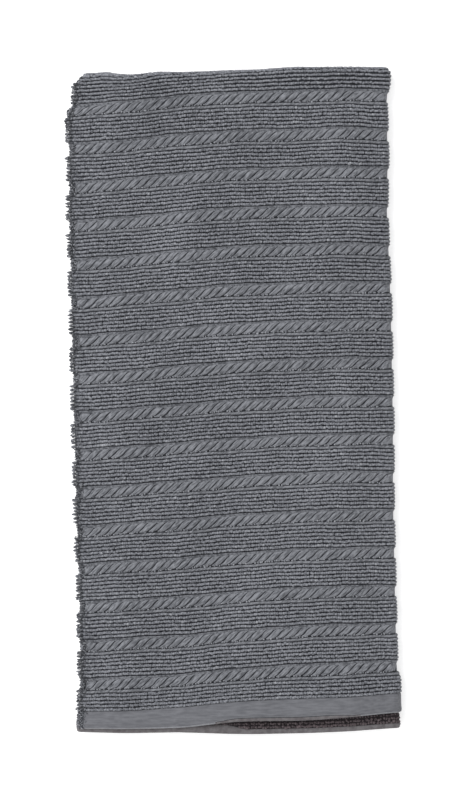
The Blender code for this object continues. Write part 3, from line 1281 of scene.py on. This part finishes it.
@dataclass
class TerryLoops:
    """The rows of loops that make the ribs, rough in some patches and smooth in others."""

    towel: Towel
    pitch: float = 0.00122
    length: float = 0.00100
    width: float = 0.00083
    height: float = 0.00105
    # How far a loop's foot stands in the cloth
    sunk: float = 0.0005
    # How far over the top fold the loops of the face go, and those of the thirds behind
    face_over: float = 0.0025
    crown: float = 0.0022
    # How far rows start from each other, and loops stand off their places: shares of the pitch, and of a rib
    row_spread: float = 0.15
    along_spread: float = 0.13
    down_spread: float = 0.05
    # The patches' waves, then how rough a loop is at least, by its patch and by chance
    patches: tuple[Wave, Wave] = (Wave(0.019, 0.0071), Wave(0.031, -0.0137, 0.2))
    rough_shares: tuple[float, float, float] = (0.15, 0.6, 0.25)
    # Where below the top fold the loops start to be rough, and are, and the same for their full width
    rough_down: tuple[float, float] = (-0.001, 0.004)
    wide_down: tuple[float, float] = (0.006, 0.016)
    crown_width: float = 0.9
    # How much longer smooth loops are, how much rough ones lose of that, and the spread by chance
    smooth_length: float = 1.2
    rough_loss: float = 0.32
    length_spread: tuple[float, float] = (0.92, 1.1)
    # How much widths and heights differ in smooth patches, how much more in rough ones, and the limits
    width_spread: tuple[float, float] = (0.03, 0.06)
    width_limits: tuple[float, float] = (-2, 1.5)
    height_spread: tuple[float, float] = (0.03, 0.08)
    height_limits: tuple[float, float] = (-2, 2)
    # How low the loops are where they end on the side folds
    end_height: float = 0.5
    # The loops' usual turn and its spread, in radians
    yaw: tuple[float, float] = (0.1, 0.16)
    # The share of pale loops, times the first number in smooth patches and both together in rough ones
    pale_share: float = 0.03
    pale_patches: tuple[float, float] = (0.5, 1.5)
    # How many places the distance along the outer surface is read at
    samples: int = 6000
    seed: int = 11
    thirds: tuple[str, ...] = ("upper", "middle", "lower")

    def places(self, rng: np.random.Generator) -> tuple[np.ndarray, np.ndarray]:
        """Spreads the loops over the ribs.

        Args:
            rng: Where the small differences between them come from.

        Returns:
            Their places along the cloth and down it.
        """
        zone, marks = self.towel.ribbed, self.towel.fold.marks
        fine = np.linspace(marks[0], marks[-1], self.samples)
        outer = self.towel.fold.outer_length(fine)
        count = int(outer[-1] / self.pitch)
        along, down = [], []
        phase = 0.5
        for top, bottom, kind in self.towel.weave.ribs():
            if kind is not Band.RIB:
                continue
            phase += rng.normal(0, self.row_spread)
            row = self.pitch * (np.arange(count) + phase)
            row = row + rng.normal(0, self.along_spread * self.pitch, count)
            along.append(np.interp(row, outer, fine))
            middle = np.full(count, (top + bottom) / 2)
            down.append(middle + rng.normal(0, self.down_spread * (bottom - top), count))
        along, down = np.concatenate(along), np.concatenate(down)
        below = down + self.towel.fold.lean(along, down)
        on_face = (along > zone.start) & (along < zone.end) & (below > -self.face_over)
        seen = on_face | (np.abs(below) < self.crown)
        return along[seen], down[seen]

    def sizes(
        self, along: np.ndarray, down: np.ndarray, rough: np.ndarray, rng: np.random.Generator
    ) -> np.ndarray:
        """Gives the loops' sizes.

        Args:
            along: The loops' places along the cloth.
            down: Their places down it.
            rough: How rough each is, from 0 to 1.
            rng: Where the small differences between them come from.

        Returns:
            The size of each along the cloth, up it and out of it.
        """
        zone, marks, total = self.towel.ribbed, self.towel.fold.marks, len(along)
        length = self.length * (self.smooth_length - self.rough_loss * rough)
        length = length * rng.uniform(*self.length_spread, total)
        spread, rough_spread = self.width_spread
        chance = rng.normal(0, 1, total).clip(*self.width_limits)
        width = self.width * (1 + (spread + rough_spread * rough) * chance)
        spread, rough_spread = self.height_spread
        chance = rng.normal(0, 1, total).clip(*self.height_limits)
        height = self.height * (1 + (spread + rough_spread * rough) * chance)
        sizes = np.stack([length, width, height], axis=-1)
        sizes[:, 1] *= self.crown_width + (1 - self.crown_width) * ramp(down, *self.wide_down)
        left = ramp(-along, -zone.start, -marks[1])
        right = ramp(along, marks[3], zone.end)
        sizes[:, 2] *= 1 - (1 - self.end_height) * right - (1 - self.end_height) * left
        return sizes

    def build(self) -> list[bpy.types.Object]:
        """Builds the loops in three pieces, from the top of the towel down.

        Returns:
            The pieces.
        """
        rng = np.random.default_rng(self.seed)
        along, down = self.places(rng)
        total = len(along)
        patch = np.ones(total)
        for wave in self.patches:
            patch = patch * (0.5 + 0.5 * wave.at(along, down))
        least, by_patch, by_chance = self.rough_shares
        rough = least + by_patch * patch + by_chance * rng.uniform(0, 1, total)
        rough = rough * ramp(down, *self.rough_down)
        sizes = self.sizes(along, down, rough, rng)
        raised = self.towel.relief(along, "crest") - self.sunk
        yaw = rng.normal(*self.yaw, total)
        smooth_pale, rough_pale = self.pale_patches
        pale = rng.uniform(0, 1, total) < self.pale_share * (smooth_pale + rough_pale * rough)
        pieces = []
        edges = np.quantile(down, [0, 1 / 3, 2 / 3, 1])
        for index, third in enumerate(self.thirds):
            last = index == len(self.thirds) - 1
            held = (down >= edges[index]) & ((down < edges[index + 1]) | last)
            chosen = (values[held] for values in (along, down, raised, sizes, yaw, pale))
            pieces.append(Scatter(self.towel.face, *chosen).build(f"terry_loops_{third}", LOOP_TOP, TERRY))
        return pieces


@dataclass
class EdgeLoops:
    """The loops that spread apart and stand up where the cloth bends round the left fold."""

    towel: Towel
    radius: float = 0.00056
    # The yarn's radius as a share of the loop's, then the loop's steps and the yarn's sides
    yarn: float = 0.4
    steps: int = 6
    sides: int = 4
    columns: int = 14
    hem_rows: int = 8
    # How far over the top fold the first rib with loops may start
    over: float = 0.001
    # Where the rows of a cable band are, as shares of its height
    cable_rows: tuple[float, ...] = (0.1, 0.3, 0.5, 0.7, 0.9)
    # How tall the loops of ribs, cable bands and hem are next to each other
    rib_share: float = 1.0
    cable_share: float = 0.75
    hem_share: float = 0.6
    # How high the loops of a cable band stand over its ground
    cable_lift: float = 0.0002
    along_spread: float = 0.0004
    down_spread: float = 0.00028
    size_spread: tuple[float, float] = (0.75, 1.25)
    tall_spread: tuple[float, float] = (0.9, 2.4)
    # The largest turn either way, in radians
    yaw: float = 1.3
    pale_share: float = 0.22
    seed: int = 23

    def rows(self) -> list[tuple[float, float]]:
        """Lists the rows of loops down the fold.

        Returns:
            How far down each row is, and how tall its loops are as a share of those of the ribs.
        """
        weave = self.towel.weave
        ribs = [(top, bottom) for top, bottom, _ in weave.ribs() if top > -self.over]
        found = [((top + bottom) / 2, self.rib_share) for top, bottom in ribs]
        for cable in weave.cables:
            start, end = cable - weave.cable_above, cable + weave.cable_below
            found += [(start + share * (end - start), self.cable_share) for share in self.cable_rows]
        step = (weave.hem_edge - weave.hem_seam) / self.hem_rows
        hem = [weave.hem_seam + (row + 0.5) * step for row in range(self.hem_rows)]
        return found + [(down, self.hem_share) for down in hem]

    def build(self) -> bpy.types.Object:
        """Builds the loops as one piece.

        Returns:
            The piece.
        """
        rng = np.random.default_rng(self.seed)
        zone = self.towel.tangle
        rows, shares = (np.array(values) for values in zip(*self.rows()))
        columns = np.linspace(zone.start, zone.end, self.columns)
        along, down = (grid.ravel() for grid in np.meshgrid(columns, rows))
        share = np.repeat(shares, self.columns)
        total = len(along)
        along = along + rng.normal(0, self.along_spread, total)
        down = down + rng.normal(0, self.down_spread, total)
        scale = self.radius * rng.uniform(*self.size_spread, total)
        tall = share * rng.uniform(*self.tall_spread, total)
        sizes = np.stack([scale, scale, scale * tall], axis=-1)
        crest, cable = self.towel.relief(along, "crest"), self.towel.relief(along, "cable")
        on_cable, on_rib = share == self.cable_share, share == self.rib_share
        raised = np.where(on_cable, cable + self.cable_lift, np.where(on_rib, crest, 0.0))
        yaw = rng.uniform(-self.yaw, self.yaw, total)
        pale = rng.uniform(0, 1, total) < self.pale_share
        scatter = Scatter(self.towel.face, along, down, raised, sizes, yaw, pale)
        return scatter.build("left_fold_loops", Stamp.arch(self.yarn, self.steps, self.sides), LOOSE)


@dataclass
class BackLoops:
    """The loops of the back half, which show in the shade under the front hem."""

    towel: Towel
    pitch: float = 0.0013
    row_pitch: float = 0.0019
    rows: int = 5
    # How far above the back half's edge the first row is, and how far the rows go round the side folds
    first_row: float = 0.0037
    round_fold: float = 0.004
    size: tuple[float, float, float] = (0.0008, 0.0008, 0.0008)
    # The first row's size, and how much each further one loses
    first_size: float = 1.1
    row_loss: float = 0.13
    size_spread: tuple[float, float] = (0.7, 1.2)
    place_spread: float = 0.0002
    sunk: float = 0.0001
    # How far the loops keep from the back half's hem
    hem_room: float = 0.0003
    # The largest turn either way, in radians
    yaw: float = 0.8
    seed: int = 37

    def build(self) -> bpy.types.Object:
        """Builds the loops as one piece.

        Returns:
            The piece.
        """
        rng = np.random.default_rng(self.seed)
        marks = self.towel.fold.marks
        start, end = marks[2] - self.round_fold, marks[3] + self.round_fold
        count = int((end - start) / self.pitch)
        along = start + self.pitch * np.arange(count)
        row = np.arange(self.rows)[:, None]
        below = self.towel.back_edge(along) - self.first_row - self.row_pitch * row
        along = (along + 0 * below).ravel() + rng.normal(0, self.place_spread, below.size)
        below = below.ravel() + rng.normal(0, self.place_spread, below.size)
        sizes = np.array(self.size) * rng.uniform(*self.size_spread, (below.size, 3))
        sizes *= np.repeat(self.first_size - self.row_loss * row, count, axis=0)
        yaw = rng.uniform(-self.yaw, self.yaw, below.size)
        hem = self.towel.fold.back_hem(along) + self.hem_room
        clear = self.towel.back_edge(along) - below > hem
        along, below, sizes, yaw = along[clear], below[clear], sizes[clear], yaw[clear]
        scatter = Scatter(self.towel.back, along, below, np.full(below.size, -self.sunk), sizes, yaw)
        return scatter.build("back_hem_loops", LOOP_TOP, WRONG_LOOPS)


@dataclass
class FootLoops:
    """The loops of the ground that stand up along the foot of each cable band, some of them pale."""

    towel: Towel
    pitch: float = 0.0013
    # How far below a cable band's line they stand, and how high over its ground
    place: float = 0.00285
    raised: float = 0.0003
    size: tuple[float, float, float] = (0.0005, 0.00045, 0.0006)
    size_spread: tuple[float, float] = (0.7, 1.25)
    along_spread: float = 0.0004
    down_spread: float = 0.00018
    # The share of the places that have a loop, and the share of pale ones
    share: float = 0.75
    pale_share: float = 0.5
    # The largest turn, in radians
    yaw: float = 1.2
    seed: int = 41

    def build(self) -> bpy.types.Object:
        """Builds the loops as one piece.

        Returns:
            The piece.
        """
        rng = np.random.default_rng(self.seed)
        zone = self.towel.twisted
        count = int((zone.end - zone.start) / self.pitch)
        cables = np.array(self.towel.weave.cables)
        along = (zone.start + self.pitch * (np.arange(count) + 0 * cables[:, None])).ravel()
        down = np.repeat(cables + self.place, count)
        along = along + rng.normal(0, self.along_spread, len(along))
        down = down + rng.normal(0, self.down_spread, len(down))
        kept = rng.uniform(0, 1, len(along)) < self.share
        along, down = along[kept], down[kept]
        sizes = np.array(self.size) * rng.uniform(*self.size_spread, (len(along), 3))
        raised = self.towel.relief(along, "cable") + self.raised
        yaw = rng.uniform(0, self.yaw, len(along))
        pale = rng.uniform(0, 1, len(along)) < self.pale_share
        scatter = Scatter(self.towel.face, along, down, raised, sizes, yaw, pale)
        return scatter.build("cable_foot_loops", LOOP_TOP, TERRY)


@dataclass
class CableTwists:
    """The slanting floats of the cable bands, each a soft pad of twisted yarns."""

    towel: Towel
    pitch: float = 0.0048
    # How far each middle may stand off its place, as a share of the pitch
    pitch_spread: float = 0.08
    # Where a float starts and ends, next to its cable band's line
    top: float = -0.0025
    bottom: float = 0.0030
    # How far the band goes on past the ends of its zone
    past: float = 0.0004
    height: float = 0.0009
    height_spread: tuple[float, float] = (0.8, 1.2)
    plain_height: float = 0.5
    sunk: float = 0.0002
    yarns: int = 3
    yarn_depth: float = 0.00009
    # The slant, and how much of it is straight and how much is in the ends
    slant: float = 1.1
    straight: float = 0.85
    hooked: float = 0.38
    # How far a float's middle hangs below its sides at the bottom, and where between them it doesn't
    tip: float = 0.0004
    tip_level: float = 0.4
    # The gap beside a float as a share of its width: everywhere, at its thickest, and at its ends
    gap: tuple[float, float, float] = (0.017, 0.055, 0.05)
    gap_spread: tuple[float, float] = (0.5, 1.4)
    # Where a gap may be thickest, from the top at -1 to the bottom at 1, and over what part of that
    thick_places: tuple[float, float] = (-0.2, 0.6)
    thick_reach: float = 0.4
    # How squarely a pad falls off at its bottom and at its sides, and where it rises at its top
    bottom_power: int = 5
    side_power: float = 2.4
    top_rise: tuple[float, float] = (-1.25, -0.4)
    across_steps: int = 12
    down_steps: int = 10
    seed: int = 5

    def slanted(self, run: np.ndarray) -> np.ndarray:
        """Gives how far a float's edge lies right of its middle, from its top at -1 to its bottom at 1."""
        bend = self.straight * run + self.hooked * run**3
        return -self.slant * (self.bottom - self.top) / 2 * bend

    def edges(self, rng: np.random.Generator) -> list[tuple[np.ndarray, np.ndarray]]:
        """Lists the floats of one band.

        Args:
            rng: Where the small differences between them come from.

        Returns:
            The left and the right edge of each float. The first and the last are wide, and end straight.
        """
        zone = self.towel.twisted
        run = np.linspace(-1, 1, self.down_steps + 1)
        slanted = self.slanted(run)
        first, last = zone.start - slanted[-1], zone.end - slanted[0]
        count = round((last - first) / self.pitch)
        middles = np.linspace(first, last, count + 1)
        middles[1:-1] += rng.uniform(-self.pitch_spread, self.pitch_spread, count - 1) * self.pitch
        found = [(zone.start - self.past + 0 * run, first + slanted)]
        even, at_thick, at_ends = self.gap
        for left, right in zip(middles, middles[1:]):
            thick = np.exp(-((run - rng.uniform(*self.thick_places)) / self.thick_reach) ** 2)
            share = even + at_thick * thick + at_ends * np.abs(run) ** 3
            gap = (right - left) * share * rng.uniform(*self.gap_spread)
            found.append((left + slanted + gap, right + slanted - gap))
        return found + [(last + slanted, zone.end + self.past + 0 * run)]

    def build(self) -> bpy.types.Object:
        """Builds the floats of all the bands as one piece.

        Returns:
            The piece.
        """
        rng = np.random.default_rng(self.seed)
        side = np.linspace(-1, 1, self.across_steps + 1)[None, :]
        run = np.linspace(-1, 1, self.down_steps + 1)[:, None]
        ends = np.sqrt(np.clip(1 - np.maximum(run, 0) ** self.bottom_power, 0, 1)) * ramp(run, *self.top_rise)
        pad = np.sqrt(np.clip(1 - np.abs(side) ** self.side_power, 0, 1)) * ends
        grids, places = [], []
        for cable in self.towel.weave.cables:
            down = cable + (self.top + self.bottom) / 2 + (self.bottom - self.top) / 2 * run
            down = down - self.tip * (side**2 - self.tip_level) * np.maximum(run, 0) ** 3
            for index, (left, right) in enumerate(self.edges(rng)):
                plain = index == 0 or right[0] == right[-1]
                along = left[:, None] + (right - left)[:, None] * (side + 1) / 2
                yarn = self.yarn_depth * np.cos(math.pi * self.yarns * (side + 1)) * pad * (not plain)
                tall = self.height * (self.plain_height if plain else rng.uniform(*self.height_spread))
                raised = self.towel.relief(along, "cable") - self.sunk + tall * pad - yarn
                grids.append(self.towel.face(along, down, raised))
                places.append(np.stack([along, -down], axis=-1))
        points, places = np.stack(grids), np.stack(places)
        rows, columns = points.shape[1:3]
        numbers = np.arange(rows * columns).reshape(rows, columns)
        quads = np.stack([numbers[:-1, :-1], numbers[1:, :-1], numbers[1:, 1:], numbers[:-1, 1:]], axis=-1)
        quads = quads.reshape(1, -1, 4) + (np.arange(len(points)) * rows * columns)[:, None, None]
        piece = make_piece("cable_twists", points, quads.reshape(-1, 4).tolist(), places)
        piece.data.materials.append(FLOATS.material())
        return piece


@dataclass(frozen=True)
class Lamp:
    """A square soft light that points at the towel.

    Attributes:
        name: Its name.
        place: Where it stands.
        size: The length of its side.
        power: Its power, in watts.
    """

    name: str
    place: tuple[float, float, float]
    size: float
    power: float

    def build(self) -> None:
        """Builds the light."""
        data = bpy.data.lights.new(self.name, "AREA")
        data.size = self.size
        data.energy = self.power
        light = bpy.data.objects.new(self.name, data)
        light.location = self.place
        x, y, z = self.place
        light.rotation_euler = (math.atan2(math.hypot(x, y), z), 0, math.atan2(y, x) + math.pi / 2)
        bpy.context.scene.collection.objects.link(light)


@dataclass
class Studio:
    """A pale floor, soft light and the camera of a picture taken from straight above."""

    # How long a pixel of the picture is on the towel, its pixels, and the towel's middle and turn in it
    towel_pixel: float = 0.5376e-3
    picture: tuple[int, int] = (468, 800)
    origin_pixel: tuple[float, float] = (233.7, 401.7)
    roll: float = math.radians(1.0)
    # The camera's lens and sensor, in millimetres, and the height at which it is sharp
    lens: float = 100.0
    sensor: float = 36.0
    face_height: float = 0.0145
    floor_size: float = 6.0
    floor_colour: str = "#f0f0f0"
    floor_roughness: float = 0.95
    # How much light the floor gives off, because the picture's background is pure white
    floor_glow: float = 0.5
    # The light from all round
    surround: float = 0.55
    lamps: tuple[Lamp, ...] = (
        Lamp("key", (-1.1, 0.95, 1.5), size=1.2, power=25.0),
        Lamp("fill", (-0.6, -0.6, 1.4), size=1.6, power=7.4),
    )

    def build(self) -> None:
        """Builds the floor, lights, world and camera."""
        self.add_floor()
        self.add_camera()
        for lamp in self.lamps:
            lamp.build()
        world = bpy.data.worlds.new("studio")
        world.use_nodes = True
        background = world.node_tree.nodes["Background"]
        background.inputs["Color"].default_value = WHITE
        background.inputs["Strength"].default_value = self.surround
        bpy.context.scene.world = world
        bpy.context.scene.view_settings.view_transform = "Standard"

    def add_floor(self) -> None:
        """Adds the floor that the towel lies on."""
        side = self.floor_size / 2
        corners = [(-side, -side, 0), (side, -side, 0), (side, side, 0), (-side, side, 0)]
        mesh = bpy.data.meshes.new("floor")
        mesh.from_pydata(corners, [], [[0, 1, 2, 3]])
        floor = bpy.data.objects.new("floor", mesh)
        bpy.context.scene.collection.objects.link(floor)
        paper = bpy.data.materials.new("white paper")
        paper.use_nodes = True
        shader = paper.node_tree.nodes["Principled BSDF"]
        shader.inputs["Base Color"].default_value = linear(self.floor_colour)
        shader.inputs["Roughness"].default_value = self.floor_roughness
        shader.inputs["Emission Color"].default_value = WHITE
        shader.inputs["Emission Strength"].default_value = self.floor_glow
        mesh.materials.append(paper)

    def add_camera(self) -> None:
        """Adds the camera, so that the towel has its place and size in the picture."""
        wide, high = self.picture
        right = (wide / 2 - self.origin_pixel[0]) * self.towel_pixel
        up = (self.origin_pixel[1] - high / 2) * self.towel_pixel
        distance = self.lens / self.sensor * high * self.towel_pixel
        data = bpy.data.cameras.new("camera")
        data.lens = self.lens
        data.sensor_width = self.sensor
        camera = bpy.data.objects.new("camera", data)
        camera.location = (right, up, self.face_height + distance)
        camera.rotation_euler = (0, 0, -self.roll)
        bpy.context.scene.collection.objects.link(camera)
        bpy.context.scene.camera = camera


def main() -> None:
    """Builds the studio and the towel."""
    logging.basicConfig(level=logging.INFO, format="%(name)s: %(message)s")
    Studio().build()
    towel = Towel(LetterFold(), Weave())
    cloth = Cloth(towel).build()
    loops = TerryLoops(towel).build()
    loops += [part(towel).build() for part in (EdgeLoops, BackLoops, FootLoops)]
    twists = CableTwists(towel).build()
    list(loops)


if __name__ == "__main__":
    main()
